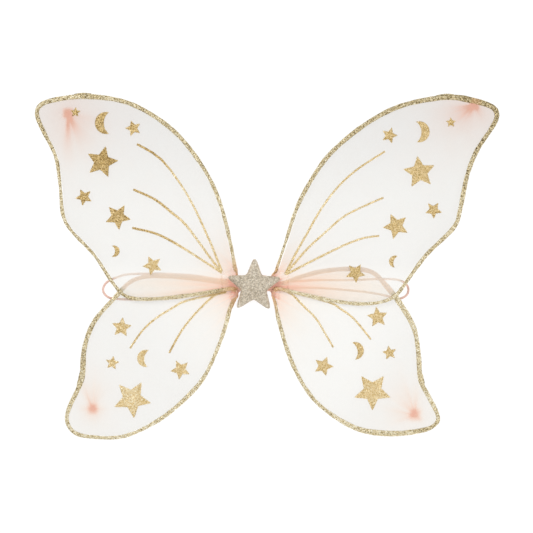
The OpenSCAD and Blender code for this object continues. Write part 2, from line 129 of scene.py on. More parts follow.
# The edging along each wing, from the start of its outline to the end: share, width and tone,
# where 0 is deep gold and 1 is pale gold.
EDGING_MARKS = {
    "upper_left": [
        (0, 3.8, 0.6), (0.02, 4.3, 0.6), (0.06, 3.8, 0.55), (0.1, 4.2, 0.5), (0.18, 4.2, 0.5),
        (0.26, 5.0, 0.5), (0.34, 4.7, 0.5), (0.39, 5.6, 0.45), (0.43, 5.4, 0.5), (0.47, 5.0, 0.4),
        (0.54, 4.2, 0.45), (0.62, 3.4, 0.5), (0.66, 4.0, 0.5), (0.7, 3.4, 0.55), (0.82, 3.8, 0.5),
        (0.9, 4.4, 0.55), (0.97, 4.4, 0.45), (1, 3.6, 0.4),
    ],
    "upper_right": [
        (0, 3.0, 0.5), (0.06, 3.0, 0.5), (0.1, 4.2, 0.5), (0.18, 4.8, 0.45), (0.26, 5.0, 0.4),
        (0.34, 5.2, 0.35), (0.4, 5.6, 0.3), (0.43, 6.8, 0.2), (0.47, 6.2, 0.2), (0.5, 4.8, 0.2),
        (0.58, 5.0, 0.35), (0.66, 4.8, 0.5), (0.74, 4.4, 0.55), (0.82, 3.6, 0.65), (0.9, 4.3, 0.65),
        (0.97, 4.0, 0.6), (1, 3.4, 0.5),
    ],
    "lower_left": [
        (0, 3.8, 0.9), (0.05, 5.4, 0.9), (0.15, 5.4, 0.8), (0.22, 4.6, 0.7), (0.3, 4.8, 0.5),
        (0.36, 5.2, 0.45), (0.42, 6.2, 0.5), (0.45, 5.6, 0.5), (0.455, 4.9, 0.6), (0.54, 4.2, 0.6),
        (0.66, 3.8, 0.65), (0.74, 4.6, 0.65), (0.82, 4.9, 0.65), (0.86, 3.8, 0.6), (0.94, 4.3, 0.7),
        (0.98, 4.8, 0.5), (1, 4.0, 0.5),
    ],
    "lower_right": [
        (0, 3.8, 0.9), (0.06, 4.8, 0.9), (0.14, 5.2, 0.7), (0.22, 5.2, 0.7), (0.28, 6.4, 0.65),
        (0.36, 5.0, 0.68), (0.43, 5.4, 0.62), (0.445, 5.6, 0.6), (0.455, 5.0, 0.65), (0.5, 4.6, 0.65),
        (0.54, 4.4, 0.5), (0.6, 6.2, 0.6), (0.66, 6.3, 0.6), (0.72, 4.8, 0.72), (0.78, 3.9, 0.55),
        (0.84, 4.4, 0.65), (0.9, 4.6, 0.55), (0.96, 3.9, 0.55), (1, 3.6, 0.5),
    ],
}

# How pale each wing's motifs are.
MOTIF_TONES = {"upper_left": 0.32, "upper_right": 0.42, "lower_left": 0.62, "lower_right": 0.52}
# Each wing's veins: the turn from straight up in degrees, the length, how much deeper the outer
# half is, and how far the vein spreads past its line.
VEINS = {
    "upper_left": [(26, 164, 0.02, 0.0), (30, 122, 0.32, 0.3), (40, 122, 0.32, 0.3), (48, 91, 0.3, 0.28)],
    "upper_right": [(25, 164, 0.08, 0.04)],
    "lower_left": [(125, 130, 0.06, 0.06), (136, 100, 0.24, 0.12)],
    "lower_right": [(130, 130, 0.08, 0.04)],
}

# Knots that tie off the nylon: place, radius and density of the bunch, and the folds that run
# from it: direction, half angle, reach and depth.
KNOTS = {
    "upper_left": {"at": (-209, 194), "radius": 5.0, "dense": 0.85, "halo": (0.22, 34),
                   "folds": [(-90, 8, 22, 0.95), (-78, 16, 11, 1.0), (-60, 9, 17, 0.8), (-38, 22, 20, 0.2),
                             (-14, 14, 20, 0.2), (-75, 38, 30, 0.2)]},
    "upper_right": {"at": (247.6, 203.4), "radius": 4.8, "dense": 0.95, "halo": (0.26, 34),
                    "folds": [(-136, 12, 13, 0.8), (-165, 13, 13, 0.8), (-112, 11, 10, 0.6),
                              (-145, 34, 26, 0.25), (80, 30, 7, 0.5), (-60, 24, 9, 0.5)]},
    "lower_left": {"at": (-181, -138), "radius": 5.4, "dense": 0.58, "halo": (0.13, 18),
                   "folds": [(117, 7, 17, 0.8), (104, 9, 26, 0.3), (86, 9, 17, 0.4), (68, 10, 14, 0.36),
                             (90, 40, 26, 0.3), (-90, 70, 8, 0.5), (178, 16, 8, 0.5), (0, 16, 8, 0.4)]},
    "lower_right": {"at": (181, -145), "radius": 6.2, "dense": 0.64, "halo": (0.14, 20),
                    "folds": [(90, 13, 12, 0.8), (110, 9, 24, 0.3), (132, 11, 14, 0.5), (172, 10, 15, 0.5),
                              (197, 14, 15, 0.5), (130, 50, 30, 0.3)]},
}


# ---- lines and triangles ----

def unit(v):
    return v / np.maximum(np.linalg.norm(v, axis=-1, keepdims=True), 1e-12)


def seeded(number):
    return np.random.default_rng(number)


def run_of(points):
    """Length along a line up to each of its points."""
    steps = np.linalg.norm(np.diff(points, axis=0), axis=1)
    return np.concatenate([[0], np.cumsum(steps)])


def evenly(line, count):
    """The same line with count points at even spacing."""
    run = run_of(line)
    at = np.linspace(0, run[-1], count)
    return np.column_stack([np.interp(at, run, line[:, k]) for k in range(line.shape[1])])


def respaced(points, spacing, closed=False):
    """The same line with its points at about the given spacing."""
    line = np.vstack([points, points[:1]]) if closed else np.asarray(points, float)
    even = evenly(line, max(3, round(run_of(line)[-1] / spacing)) + 1)
    return even[:-1] if closed else even


def curved(points, steps):
    """A smooth curve through every point of a line."""
    line = np.asarray(points, float)
    last = len(line) - 1
    made = []
    for i in range(last):
        a, b, c, d = line[max(i - 1, 0)], line[i], line[i + 1], line[min(i + 2, last)]
        for t in np.arange(steps) / steps:
            made.append((2 * b + (c - a) * t + (2 * a - 5 * b + 4 * c - d) * t * t
                         + (3 * b - a - 3 * c + d) * t ** 3) / 2)
    return np.array(made + [line[last]])


def smoothed(points, rounds):
    line = points.copy()
    for _ in range(rounds):
        line[1:-1] = (line[:-2] + 2 * line[1:-1] + line[2:]) / 4
    return line


def inset(loop, distance):
    """A closed loop moved inwards, with its corners kept."""
    flat = loop[:, :2]
    before = unit(flat - np.roll(flat, 1, axis=0))
    after = unit(np.roll(flat, -1, axis=0) - flat)
    n1 = np.column_stack([-before[:, 1], before[:, 0]])
    n2 = np.column_stack([-after[:, 1], after[:, 0]])
    mitre = (n1 + n2) / np.maximum(1 + (n1 * n2).sum(1, keepdims=True), 0.4)
    moved = loop.copy()
    moved[:, :2] = flat + mitre * distance
    return moved


def smoothstep(low, high, x):
    t = np.clip((x - low) / (high - low), 0, 1)
    return t * t * (3 - 2 * t)


def rim_of(tris):
    """The closed rims of a patch of triangles, as lists of point numbers."""
    edges = {(t[k], t[(k + 1) % 3]) for t in tris.tolist() for k in range(3)}
    after = {a: b for a, b in edges if (b, a) not in edges}
    rims = []
    while after:
        first = min(after)
        rim, here = [first], after.pop(first)
        while here != first and here in after:
            rim.append(here)
            here = after.pop(here)
        rims.append(rim)
    return rims


def top_loops(node):
    """The outlines of a CAD node's upper faces, highest first."""
    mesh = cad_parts[node].data
    mesh.calc_loop_triangles()
    corners = np.array([v.co for v in mesh.vertices]) / MM
    points, welded = np.unique(np.round(corners, 3), axis=0, return_inverse=True)
    tris = welded.ravel()[np.array([t.vertices[:] for t in mesh.loop_triangles])]
    a, b, c = (points[tris[:, k]] for k in range(3))
    upward = unit(np.cross(b - a, c - a))[:, 2] > 0.9
    loops = [points[rim] for rim in rim_of(tris[upward])]
    return sorted(loops, key=lambda loop: -loop[:, 2].mean().round(2))


def plane_of(loop):
    """Height of a flat loop as a function of x and y."""
    ones = np.ones(len(loop))
    fit = np.linalg.lstsq(np.column_stack([ones, loop[:, :2]]), loop[:, 2], rcond=None)[0]
    return lambda p: fit[0] + p[:, 0] * fit[1] + p[:, 1] * fit[2]


def inside(points, loop):
    x, y = points[:, 0, None], points[:, 1, None]
    x0, y0 = loop[:, 0], loop[:, 1]
    x1, y1 = np.roll(x0, -1), np.roll(y0, -1)
    rise = np.where(y1 == y0, 1e-9, y1 - y0)
    crossed = ((y0 > y) != (y1 > y)) & (x < x0 + (y - y0) / rise * (x1 - x0))
    return crossed.sum(1) % 2 == 1


def line_distance(points, a, ab):
    """Distance in plan from each point to the nearest of the lines from a to a + ab."""
    square = np.maximum((ab ** 2).sum(1), 1e-12)
    found = []
    for chunk in np.array_split(points[:, :2], max(1, len(points) // 1500)):
        t = np.clip(((chunk[:, None] - a) * ab).sum(2) / square, 0, 1)
        found.append(np.linalg.norm(chunk[:, None] - a - t[..., None] * ab, axis=2).min(1))
    return np.concatenate(found)


def edge_distance(points, loop):
    """Distance in plan from each point to a closed loop."""
    a = loop[:, :2]
    return line_distance(points, a, np.roll(a, -1, axis=0) - a)


def scattered(loop, spacing, rng, margin=0.6):
    """Uneven points over the inside of a loop."""
    low, high = loop[:, :2].min(0), loop[:, :2].max(0)
    rows = np.arange(low[1], high[1], spacing * 0.866)
    xs = np.arange(low[0], high[0], spacing)
    grid = np.array([(x + (j % 2) * spacing / 2, y) for j, y in enumerate(rows) for x in xs])
    grid += rng.uniform(-0.28, 0.28, grid.shape) * spacing
    grid = grid[inside(grid, loop)]
    return grid[edge_distance(grid, loop) > margin * spacing]


def filled(loop, inner):
    """Points and triangles over the inside of a loop; the loop's own points come first."""
    count = len(loop)
    corners = [Vector(p) for p in np.vstack([loop[:, :2], inner])]
    edges = [(k, (k + 1) % count) for k in range(count)]
    made = delaunay_2d_cdt(corners, edges, [], 1, 1e-5)
    return np.array([p[:] for p in made[0]]), np.array(made[2])


def plate(points, tris, height, count, low):
    """A solid: a shaped top, a wall down from its first count points, and an underside at low."""
    flat, flat_tris = filled(points[:count], np.empty((0, 2)))
    top = np.column_stack([points, height])
    under = np.column_stack([flat, low(flat)])
    base = len(points)
    faces = tris.tolist()
    faces += [(a + base, c + base, b + base) for a, b, c in flat_tris.tolist()]
    for k in range(count):
        n = (k + 1) % count
        faces.append((k, k + base, n + base, n))
    return np.vstack([top, under]), faces


# ---- meshes ----

def placed(name, data):
    """An object of the scene made from a mesh, a lamp or a camera."""
    thing = bpy.data.objects.new(name, data)
    bpy.context.scene.collection.objects.link(thing)
    return thing


def new_piece(name, points, faces, material, smooth=True):
    """A mesh object from points in millimetres."""
    mesh = bpy.data.meshes.new(name)
    mesh.from_pydata((np.asarray(points) * MM).tolist(), [], [list(map(int, f)) for f in faces])
    mesh.materials.append(material)
    mesh.polygons.foreach_set("use_smooth", [smooth] * len(mesh.polygons))
    mesh.update()
    return placed(name, mesh)


def paint(piece, name, values):
    """A number at each point of the mesh, for its material to read."""
    layer = piece.data.attributes.new(name, "FLOAT", "POINT")
    layer.data.foreach_set("value", np.asarray(values, np.float32))


def dress(piece, body, slot, *nodes):
    """What a piece rides on, and the CAD nodes that it stands for; slot is not used."""
    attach(piece, body)
    if nodes:
        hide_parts(*nodes)


def ring_frame(line):
    """Directions across and upward at each point of a line."""
    ahead = unit(np.gradient(line, axis=0))
    side = unit(np.cross(ahead, UP))
    return side, np.cross(side, ahead)


def tube(line, across, upward, sides, power=1.0):
    """A bar swept along a line with an elliptic section: points and triangles, closed at both ends."""
    count = len(line)
    side, top = ring_frame(line)
    turn = (np.arange(sides) + 0.5) * 2 * math.pi / sides
    c = np.sign(np.cos(turn)) * np.abs(np.cos(turn)) ** power
    s = np.sign(np.sin(turn)) * np.abs(np.sin(turn)) ** power
    across = np.broadcast_to(across, count)
    upward = np.broadcast_to(upward, count)
    rings = (line[:, None] + side[:, None] * (across[:, None] * c)[..., None]
             + top[:, None] * (upward[:, None] * s)[..., None])
    points = np.vstack([rings.reshape(-1, 3), line[:1], line[-1:]])
    faces = []
    for i in range(count - 1):
        for k in range(sides):
            a, b = i * sides + k, i * sides + (k + 1) % sides
            c0, d0 = a + sides, b + sides
            if (i + k) % 2:
                faces += [(a, c0, b), (b, c0, d0)]
            else:
                faces += [(a, c0, d0), (a, d0, b)]
    start, end = len(points) - 2, len(points) - 1
    last = (count - 1) * sides
    faces += [(start, k, (k + 1) % sides) for k in range(sides)]
    faces += [(end, last + (k + 1) % sides, last + k) for k in range(sides)]
    return points, faces


def quads(rows, columns, closed=True, flipped=False):
    """Faces between rows of points; a closed row's last point joins its first."""
    faces = []
    for i in range(rows - 1):
        for k in range(columns if closed else columns - 1):
            a, b = i * columns + k, i * columns + (k + 1) % columns
            c, d = b + columns, a + columns
            faces.append((a, d, c, b) if flipped else (a, b, c, d))
    return faces


def drum(rows, sides):
    """Faces round rings of points, closed at both ends."""
    last = (rows - 1) * sides
    return quads(rows, sides) + [list(range(sides))[::-1], list(range(last, last + sides))]


def joined(parts):
    """Several meshes as one."""
    points, faces, base = [], [], 0
    for p, f in parts:
        points.append(np.asarray(p))
        faces += [tuple(int(i) + base for i in face) for face in f]
        base += len(p)
    return np.vstack(points), faces


# ---- materials ----

class Shader:
    """A material's nodes, each added and wired in one call."""

    def __init__(self, name, roughness, **fixed):
        self.material = bpy.data.materials.new(name)
        self.material.use_nodes = True
        self.nodes = self.material.node_tree.nodes
        self.links = self.material.node_tree.links
        self.bsdf = self.nodes["Principled BSDF"]
        self.bsdf.inputs["Roughness"].default_value = roughness
        for socket, value in fixed.items():
            self.drive(socket.replace("_", " "), value)
        coords = self.nodes.new("ShaderNodeTexCoord")
        self.place = coords.outputs["Object"]

    def wire(self, socket, value):
        """Links a value to a socket, or sets the socket's own value; a colour is given as r, g, b."""
        if isinstance(value, bpy.types.NodeSocket):
            self.links.new(value, socket)
        else:
            socket.default_value = (*value, 1) if isinstance(value, tuple) else value

    def add(self, kind, wires=(), **settings):
        node = self.nodes.new(kind)
        for name, value in settings.items():
            setattr(node, name, value)
        for socket, value in dict(wires).items():
            self.wire(node.inputs[socket], value)
        return node

    def noise(self, grain, detail, roughness=0.55):
        """Noise with features about grain millimetres across."""
        return self.add("ShaderNodeTexNoise", {
            "Vector": self.place, "Scale": 1 / (grain * MM), "Detail": detail,
            "Roughness": roughness}).outputs["Fac"]

    def cells(self, size):
        """A random colour for each cell about size millimetres across."""
        return self.add("ShaderNodeTexVoronoi", {
            "Vector": self.place, "Scale": 1 / (size * MM)}).outputs["Color"]

    def channel(self, colour, index):
        return self.add("ShaderNodeSeparateColor", {"Color": colour}).outputs[index]

    def ramp(self, value, stops):
        node = self.add("ShaderNodeValToRGB", {"Fac": value})
        marks = node.color_ramp.elements
        while len(marks) < len(stops):
            marks.new(0.5)
        for mark, (at, colour) in zip(marks, stops):
            mark.position = at
            mark.color = (*colour, 1)
        return node.outputs["Color"]

    def maths(self, how, a, b=0.0, c=0.0):
        return self.add("ShaderNodeMath", {0: a, 1: b, 2: c}, operation=how).outputs[0]

    def scaled(self, value, amount, start):
        """A value times an amount, added to another value."""
        return self.maths("MULTIPLY_ADD", value, amount, start)

    def swing(self, value, amount, start):
        """A value's swing about one half, scaled and added to another value."""
        return self.scaled(self.maths("SUBTRACT", value, 0.5), amount, start)

    def mix(self, share, a, b):
        """One colour turning into another."""
        return self.add("ShaderNodeMix", {"Factor": share, 6: a, 7: b}, data_type="RGBA").outputs[2]

    def attribute(self, name):
        return self.add("ShaderNodeAttribute", attribute_name=name).outputs["Fac"]

    def bump(self, height, depth, strength=1.0):
        node = self.add("ShaderNodeBump", {"Height": height, "Distance": depth * MM, "Strength": strength})
        self.links.new(node.outputs[0], self.bsdf.inputs["Normal"])

    def drive(self, socket, value):
        self.wire(self.bsdf.inputs[socket], value)


def linear(r, g, b):
    """Screen colour, 0 to 255, as linear light."""
    return tuple(c / 12.92 if c <= 0.04045 else ((c + 0.055) / 1.055) ** 2.4
                 for c in (r / 255, g / 255, b / 255))


def glitter(name, dark, middle, light, painted_glint, flake, contrast=1.0, toned=True):
    """Flakes of foil, each with its own gloss and its own tone, partly the foil's own and partly painted
    light: the deepest flakes are painted dark reflections and the palest are painted glints. A toned one
    reads its tone from the mesh.
    """
    s = Shader(name, 0.4)
    flakes = s.cells(flake)
    value = s.swing(s.channel(flakes, 0), 0.9 * contrast, 0.5)
    value = s.swing(s.noise(2.4, 2), 0.34 * contrast, value)
    value = s.swing(s.noise(26, 2), 0.3, value)
    if toned:
        value = s.swing(s.attribute("tone"), 0.7, value)
    # The ramp's deepest stop stands partly for flakes that mirror the dark, and its last stop is a painted
    # glint.
    flake_tone_and_glint = s.ramp(value, [(0.0, dark), (0.35, middle), (0.7, light), (1.0, painted_glint)])
    if toned:
        # Painted light: under an upper wing's nylon the gold is turned pale, partly for the net's tint and
        # partly to lift the shade under that sheet.
        flake_tone_and_glint = s.mix(s.attribute("nylon_tint_and_painted_light"), flake_tone_and_glint, NYLON_TINT_AND_LIGHT_GOLD)
        flake_tone_and_glint = s.mix(s.attribute("blush"), flake_tone_and_glint, PEACH_OVER_GOLD)
    s.drive("Base Color", flake_tone_and_glint)
    s.drive("Roughness", s.scaled(s.channel(flakes, 1), 0.35, 0.3))
    metal = s.scaled(s.channel(flakes, 2), 0.4, 0.25)
    # The metal is cut where the gold is painted pale, which also lightens it in the shade under the sheet.
    s.drive("Metallic", s.maths("MULTIPLY", metal, s.maths("SUBTRACT", 1.0, s.attribute("nylon_tint_and_painted_light"))))
    s.bump(s.channel(flakes, 2), 0.12)
    return s.material


def nylon_sheet_material():
    """Sheer net: clear where it is stretched, peach and denser where it is gathered."""
    s = Shader("sheer_nylon", 0.6, Sheen_Weight=0.15, Specular_IOR_Level=0.2)
    gather = s.attribute("gather")
    greying = s.attribute("greying")
    mottle = s.maths("SUBTRACT", s.noise(14, 3), 0.5)
    knit = s.noise(0.5, 2)
    density = s.scaled(mottle, 0.06, gather)
    peach = s.ramp(density, [(0.0, (0.8, 0.78, 0.71)), (0.14, (0.88, 0.76, 0.62)),
                             (0.4, (0.95, 0.71, 0.54)), (0.7, (0.97, 0.63, 0.48)),
                             (1.0, (0.93, 0.53, 0.41))])
    # Outwards the net is drawn greyer, and its cover grows a little there too.
    grey = s.ramp(density, [(0.0, (0.63, 0.615, 0.585)), (0.16, (0.68, 0.54, 0.47)),
                            (0.5, (0.78, 0.49, 0.39)), (1.0, (0.64, 0.34, 0.25))])
    s.drive("Base Color", s.mix(greying, peach, grey))
    cover = s.scaled(gather, 0.62, 0.36)
    cover = s.scaled(greying, 0.16, cover)
    cover = s.swing(knit, 0.14, cover)
    cover = s.scaled(mottle, 0.06, cover)
    cover = s.maths("MINIMUM", s.maths("MAXIMUM", cover, 0.05), 0.98)
    s.drive("Alpha", s.maths("MULTIPLY", cover, s.attribute("present")))
    s.bump(knit, 0.05, 0.6)
    return s.material


def gathered_nylon_material(name, cover):
    """The same nylon drawn together into dense peach folds."""
    s = Shader(name, 0.7, Sheen_Weight=0.08, Specular_IOR_Level=0.15)
    folds = s.noise(3.5, 4)
    knit = s.noise(0.4, 2)
    s.drive("Base Color", s.ramp(folds, [
        (0.25, linear(240, 184, 160)), (0.5, linear(248, 206, 184)), (0.8, linear(253, 226, 208))]))
    s.drive("Alpha", s.maths("MINIMUM", s.scaled(folds, 0.25, cover), 1.0))
    s.bump(knit, 0.08)
    return s.material


def elastic_material():
    s = Shader("elastic_braid", 0.7, Sheen_Weight=0.3)
    yarn = s.noise(0.35, 2)
    slow = s.noise(9, 2)
    tone = s.swing(slow, 0.5, yarn)
    yarns = s.ramp(tone, [
        (0.25, linear(222, 172, 154)), (0.5, linear(240, 200, 185)), (0.8, linear(249, 222, 212))])
    # Painted light: the elastic turns near-white under the upper nylon and by the hub, partly the net's
    # tint and partly washing out its own tube shading and the shade round it.
    s.drive("Base Color", s.mix(s.attribute("nylon_tint_and_painted_light"), yarns, NYLON_TINT_AND_LIGHT_ELASTIC))
    s.bump(yarn, 0.1)
    return s.material


def felt_material(name, dark, light):
    s = Shader(name, 0.9, Sheen_Weight=0.5)
    fibres = s.noise(0.45, 5, 0.7)
    patches = s.noise(5, 3)
    tone = s.swing(patches, 0.4, fibres)
    s.drive("Base Color", s.ramp(tone, [(0.3, dark), (0.7, light)]))
    s.bump(fibres, 0.35)
    return s.material


def thread_material(name, dark, light):
    s = Shader(name, 0.6, Sheen_Weight=0.2)
    twist = s.noise(0.25, 2)
    s.drive("Base Color", s.ramp(twist, [(0.3, dark), (0.7, light)]))
    s.bump(twist, 0.08)
    return s.material


def wire_material():
    s = Shader("bright_wire", 0.32, Metallic=1.0)
    drawn = s.noise(0.6, 3)
    s.drive("Base Color", s.ramp(drawn, [(0.3, linear(176, 160, 128)), (0.7, linear(214, 200, 168))]))
    s.drive("Roughness", s.scaled(drawn, 0.25, 0.2))
    s.bump(drawn, 0.02)
    return s.material


# Gold and elastic seen through nylon, where an upper wing covers a lower one and at the hub. The two pale
# ones are partly the net's tint and partly painted light, which lifts the shade under the sheets and the
# elastic's own shading; the peach one is the gathered net's colour.
NYLON_TINT_AND_LIGHT_GOLD = linear(253, 226, 208)
NYLON_TINT_AND_LIGHT_ELASTIC = linear(255, 238, 228)
PEACH_OVER_GOLD = linear(228, 166, 112)
# The last colour of each glitter is its painted glint.
EDGING_GOLD = glitter("edging_glitter", linear(96, 76, 34), linear(202, 182, 134),
                      linear(236, 222, 184), linear(255, 250, 230), flake=0.86)
MOTIF_GOLD = glitter("motif_glitter", linear(134, 100, 42), linear(212, 182, 118),
                     linear(240, 216, 166), linear(255, 246, 218), flake=0.8, contrast=0.7)
STAR_GLITTER = glitter("centre_star_glitter", linear(118, 102, 80), linear(202, 187, 163),
                       linear(228, 216, 197), linear(255, 252, 240), flake=0.75, contrast=0.9, toned=False)
SHEER = nylon_sheet_material()
GATHERED = gathered_nylon_material("gathered_nylon", 0.86)
WOUND_THIN = gathered_nylon_material("gathered_nylon_thin", 0.34)
ELASTIC = elastic_material()
PEACH_FELT = felt_material("peach_felt", linear(205, 142, 122), linear(238, 188, 168))
PEACH_THREAD = thread_material("peach_thread", linear(226, 160, 138), linear(250, 206, 188))
SILVER_THREAD = thread_material("silver_thread", linear(140, 130, 112), linear(214, 206, 190))
WIRE = wire_material()


# ---- camera, light and floor ----

# The photograph looks straight down; its picture is 597 mm wide at the height of the wings.
VIEW_X, VIEW_Y = 14, 21.8
VIEW_WIDTH = 597
WINGS_Z = 6
LENS, SENSOR = 85, 36
FLOOR_HALF = 3000
FLOOR_Z = -0.4


def make_camera():
    data = bpy.data.cameras.new("camera")
    data.lens = LENS
    data.sensor_width = SENSOR
    camera = placed("camera", data)
    height = VIEW_WIDTH * LENS / SENSOR + WINGS_Z
    camera.location = Vector((VIEW_X, VIEW_Y, height)) * MM
    bpy.context.scene.camera = camera


def make_lamp(name, at, size, watts):
    data = bpy.data.lights.new(name, "AREA")
    data.shape = "DISK"
    data.size = size
    data.energy = watts
    lamp = placed(name, data)
    lamp.location = at
    lamp.rotation_euler = (-Vector(at)).to_track_quat("-Z", "Y").to_euler()


def make_floor():
    """A pale floor, lit partly from within so that it reads as the photo's white."""
    s = Shader("white_floor", 0.9, Base_Color=(0.15, 0.15, 0.15), Emission_Color=(1, 1, 1),
               Emission_Strength=0.91)
    corners = [(FLOOR_HALF * x, FLOOR_HALF * y, FLOOR_Z) for x, y in ((-1, -1), (1, -1), (1, 1), (-1, 1))]
    new_piece("floor", np.array(corners), [(0, 1, 2, 3)], s.material)


def make_world():
    world = bpy.data.worlds.new("studio")
    world.use_nodes = True
    background = world.node_tree.nodes["Background"]
    background.inputs["Color"].default_value = (1, 1, 1, 1)
    background.inputs["Strength"].default_value = 0.4
    bpy.context.scene.world = world


def make_studio():
    make_camera()
    make_floor()
    make_world()
    make_lamp("key", (-1.1, 0.9, 1.5), 0.9, 16)
    make_lamp("fill", (1.3, 0.3, 1.4), 1.1, 10)
    make_lamp("low", (0.2, -1.5, 1.0), 0.8, 8)
    bpy.context.scene.view_settings.view_transform = "Standard"


# ---- straps ----

def make_strap(side):
    """A braided tube of round elastic along its route."""
    route = np.array([(x, y, LIE_Z) for x, y in STRAP_ROUTES[side]])
    route[[0, 1, -2, -1], 2] = TUCK_Z
    line = respaced(curved(route, 8), 0.55)
    sides = 20
    points, faces = tube(line, STRAP_D / 2, STRAP_D / 2, sides)
    run = np.repeat(run_of(line), sides)
    turn = np.tile(np.arange(sides) * 2 * math.pi / sides, len(line))
    braid = 0.09 * np.sin(run * 2.6 + 4 * turn) * np.sin(run * 2.6 - 4 * turn)
    centre = np.repeat(line, sides, axis=0)
    body = points[:-2]
    body += unit(body - centre) * (braid - 0.06)[:, None]
    points[:, 2] = np.maximum(points[:, 2], 0.01)
    strap = new_piece(f"{side}_elastic_strap", points, faces, ELASTIC)
    # Painted light near the hub and under the upper nylon: the strap is painted pale, which hides the
    # shade along its sides.
    by_hub = 0.9 * smoothstep(50, 36, from_hub(points))
    paint(strap, "nylon_tint_and_painted_light", np.maximum(0.93 * veiled_by(f"upper_{side}", points), by_hub))
    dress(strap, "root", "elastic", f"{side}_strap")


# ---- wings ----

def wing_seed(index):
    return 100 * (index + 1)


def wing_side(wing):
    return LEFT if wing.endswith("left") else RIGHT


def lead_of(points, wing):
    """A lead's points, given from the wire's root, as places."""
    return np.array([(HUB_X + wing_side(wing) * (ROOT_X + out), y, ROOT_Z + z) for out, y, z in points])


def edging_line(wing):
    """The middle of a wing's edging: halfway between the two long sides of its top face."""
    loop = top_loops(f"{wing}_edging")[0]
    before = unit(loop - np.roll(loop, 1, axis=0))
    after = unit(np.roll(loop, -1, axis=0) - loop)
    corners = np.sort(np.argsort((before * after).sum(1))[:4])
    loop = np.roll(loop, -corners[1], axis=0)
    corners = np.sort((corners - corners[1]) % len(loop))
    sides = [loop[corners[0]:corners[1] + 1], loop[corners[2]:corners[3] + 1]]
    if len(sides[0]) < 5:
        sides = [loop[corners[1]:corners[2] + 1], np.vstack([loop[corners[3]:], loop[:1]])]
    line = (evenly(sides[0], 601) + evenly(sides[1], 601)[::-1]) / 2
    line[:, 2] -= EDGING_TOP
    first, last = lead_of(FIRST_LEADS[wing], wing), lead_of(LAST_LEADS[wing], wing)
    if np.linalg.norm(line[0] - first[-1]) > np.linalg.norm(line[-1] - first[-1]):
        line = line[::-1]
    return first, line, last


def make_wire(wing, first, line, last):
    middle = respaced(smoothed(line, 4), 4)
    route = curved(np.vstack([first, middle, last]), 4)
    points, faces = tube(respaced(route, 1.2), WIRE_R, WIRE_R, 16)
    wire = new_piece(f"{wing}_wire_loop", points, faces, WIRE)
    dress(wire, f"{wing}_wing", "wire", f"{wing}_wire")


def edging_route(first, line, last):
    """The edging covers the wire all round, and its ends meet inside the sleeve."""
    route = np.vstack([first, respaced(smoothed(line, 6), 5), last])
    return respaced(curved(route, 5), 0.62)


def other_level(wing):
    """The other wing on the same side."""
    level, side = wing.split("_")
    return f"{'lower' if level == 'upper' else 'upper'}_{side}"


def covered(wing, points):
    """1 where a point of a lower wing lies under the upper wing's nylon, 0 clear of it."""
    if wing.startswith("upper"):
        return np.zeros(len(points))
    return veiled_by(other_level(wing), points)


def nylon_outline(wing):
    return respaced(top_loops(f"{wing}_nylon")[0], 4, closed=True)


def veiled_by(wing, points):
    """1 where a point lies well inside the outline of a wing's nylon, 0 outside it."""
    loop = nylon_outline(wing)
    return smoothstep(0, 5, edge_distance(points, loop)) * inside(points, loop)


def from_hub(points):
    return np.hypot(points[:, 0] - HUB_X, points[:, 1])


# Where the upper right knot's nylon shows outside its edging.
KNOT_SHOWS_AT = (249, 207)


def near_knot(wing, points):
    """The upper right knot is tied so close to the edging that its nylon shows outside it."""
    if wing != "upper_right":
        return np.zeros(len(points))
    return smoothstep(8, 3, np.linalg.norm(points[:, :2] - KNOT_SHOWS_AT, axis=1))


def make_edging(wing, route, rng):
    """Glitter tape folded over the wire: a grainy lens-shaped band."""
    run = run_of(route)
    share = run / run[-1]
    marks = np.array(EDGING_MARKS[wing])
    waver = 0.12 * np.sin(run / 7.3) + 0.1 * np.sin(run / 2.9 + 1.3)
    root_gap = np.hypot(route[:, 0] - HUB_X - wing_side(wing) * ROOT_X, route[:, 2] - ROOT_Z)
    root_gap += np.maximum(route[:, 1] - 15, 0) + np.maximum(-14 - route[:, 1], 0)
    free = smoothstep(0.2, 4.5, root_gap)
    full_w = np.interp(share, marks[:, 0], marks[:, 1]) / 2 + waver
    across = SQUEEZED_W + (full_w - SQUEEZED_W) * free
    upward = SQUEEZED_H + FREE_GAIN_H * free
    sides = 18
    points, faces = tube(route, across, upward, sides, 0.9)
    points[:-2] += rng.uniform(-0.16, 0.16, (len(points) - 2, 3))
    points[:, 2] = np.maximum(points[:, 2], 0.02)
    edging = new_piece(f"{wing}_edging_tape", points, faces, EDGING_GOLD, smooth=False)
    paint(edging, "tone", np.interp(np.append(np.repeat(share, sides), [0, 1]), marks[:, 0], marks[:, 2]))
    # Painted light: the gold is paled where it lies under the upper wing's nylon, partly the net's tint
    # and partly lifted shade.
    paint(edging, "nylon_tint_and_painted_light", 0.85 * covered(wing, points))
    paint(edging, "blush", 0.55 * smoothstep(46, 21, from_hub(points)) + 0.3 * near_knot(wing, points))
    dress(edging, f"{wing}_wing", "gold_glitter", f"{wing}_edging")


